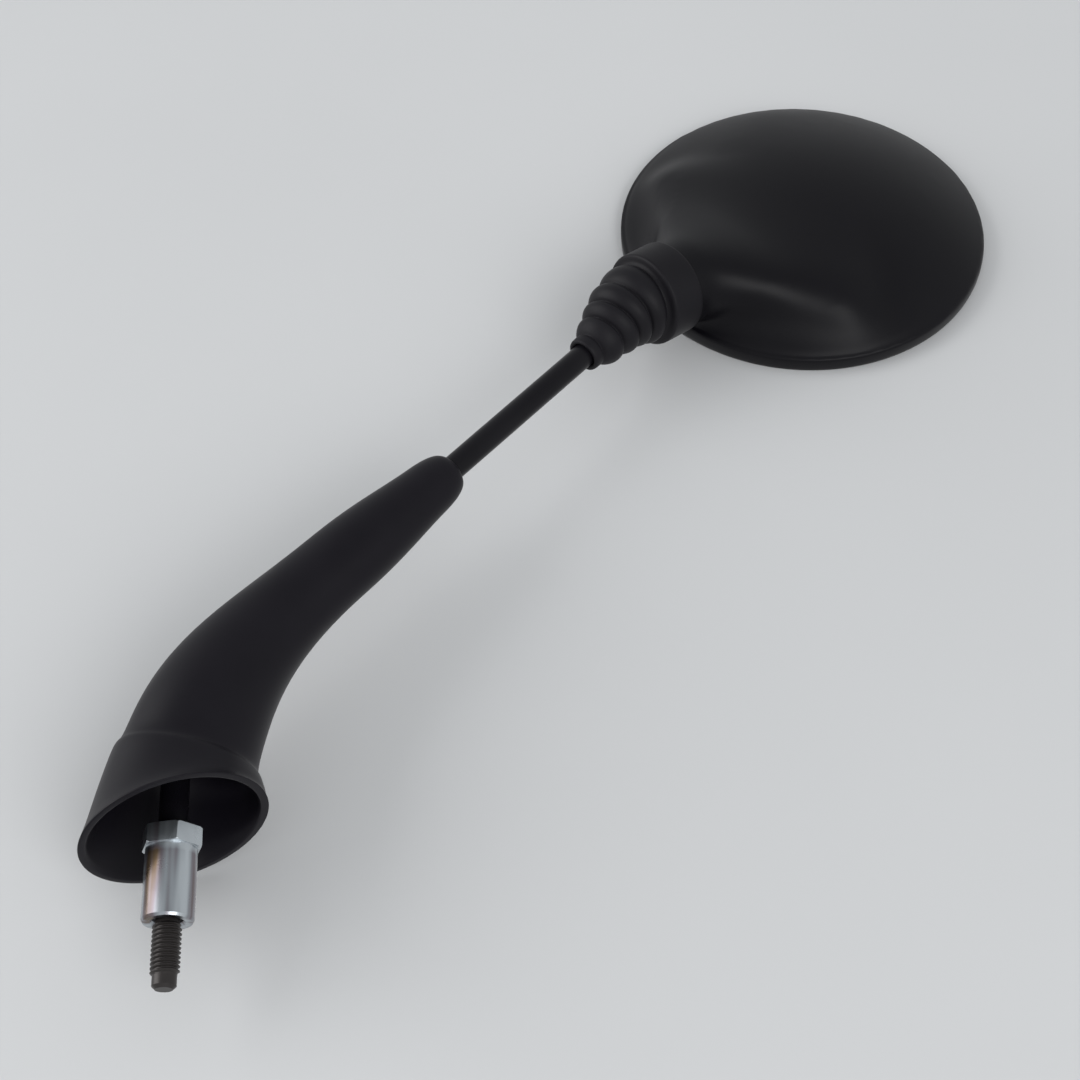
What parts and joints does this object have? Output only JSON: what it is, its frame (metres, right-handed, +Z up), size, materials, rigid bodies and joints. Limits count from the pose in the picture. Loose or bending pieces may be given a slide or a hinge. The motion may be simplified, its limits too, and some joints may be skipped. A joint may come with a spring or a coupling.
{
  "type": "motorcycle mirror",
  "caption": "Round handlebar mirror on a bent rod with a skirted rubber arm cover, a lock nut on its threaded stud and a ball joint under a bellows.",
  "frame": {"origin": "on the stud's axis at the top of its free thread, 0.3 mm below the lock nut's mounting face", "axes": "+Z up the stud's axis from its free end to the rod's bend, the rod bends in the XZ plane and leans towards -X, the glass looks about towards -Y and the back of the head towards +Y"},
  "size_m": [0.3022, 0.0584, 0.3494],
  "materials": {
    "rod": "black oxide steel, satin on the stem, oiled on the thread",
    "ball": "ground steel",
    "arm_rubber": "smooth moulded rubber, satin",
    "nut": "bright zinc plate over turned steel",
    "boot_rubber": "moulded rubber, matt",
    "liner": "natural plain bearing plastic",
    "shell": "fine textured black plastic, satin",
    "cup": "moulded glass-filled plastic",
    "spring": "spring steel",
    "fastener": "zinc plated",
    "plate": "moulded plastic",
    "pad": "closed-cell foam with adhesive",
    "glass": "silvered convex glass"
  },
  "bodies": {
    "stem": {"stem_rod": "rod", "stem_ball": "ball", "arm_cover": "arm_rubber"},
    "nut": {"lock_nut": "nut"},
    "boot": {"bellows_boot": "boot_rubber"},
    "liner": {"ball_liner": "liner"},
    "head": {"head_shell": "shell", "socket_cup": "cup", "thrust_cup": "liner", "disc_spring_front": "spring", "disc_spring_back": "spring", "clamp_plate": "fastener", "clamp_screw_1": "fastener", "clamp_screw_2": "fastener", "clamp_screw_3": "fastener", "clamp_screw_4": "fastener", "backing_plate": "plate", "glass_pad": "pad", "mirror_glass": "glass", "glass_bezel": "shell"}
  },
  "joints": [
    {"name": "nut_turn", "type": "hinge", "parent": "stem", "child": "nut", "pos_m": [0, 0, 0], "axis": [0, 0, 1], "continuous": true},
    {"name": "ball_swivel", "type": "hinge", "parent": "stem", "child": "boot", "pos_m": [-0.15033, 0, 0.22124], "axis": [-0.6915, 0, 0.7224], "continuous": true},
    {"name": "ball_tilt", "type": "hinge", "parent": "boot", "child": "liner", "pos_m": [-0.15033, 0, 0.22124], "axis": [0.3966, -0.8358, 0.3797], "range_deg": [-31, 9], "deforming": ["bellows_boot"]},
    {"name": "neck_spin", "type": "hinge", "parent": "liner", "child": "head", "pos_m": [-0.15033, 0, 0.22124], "axis": [-0.794, -0.1048, 0.5988], "continuous": true}
  ]
}
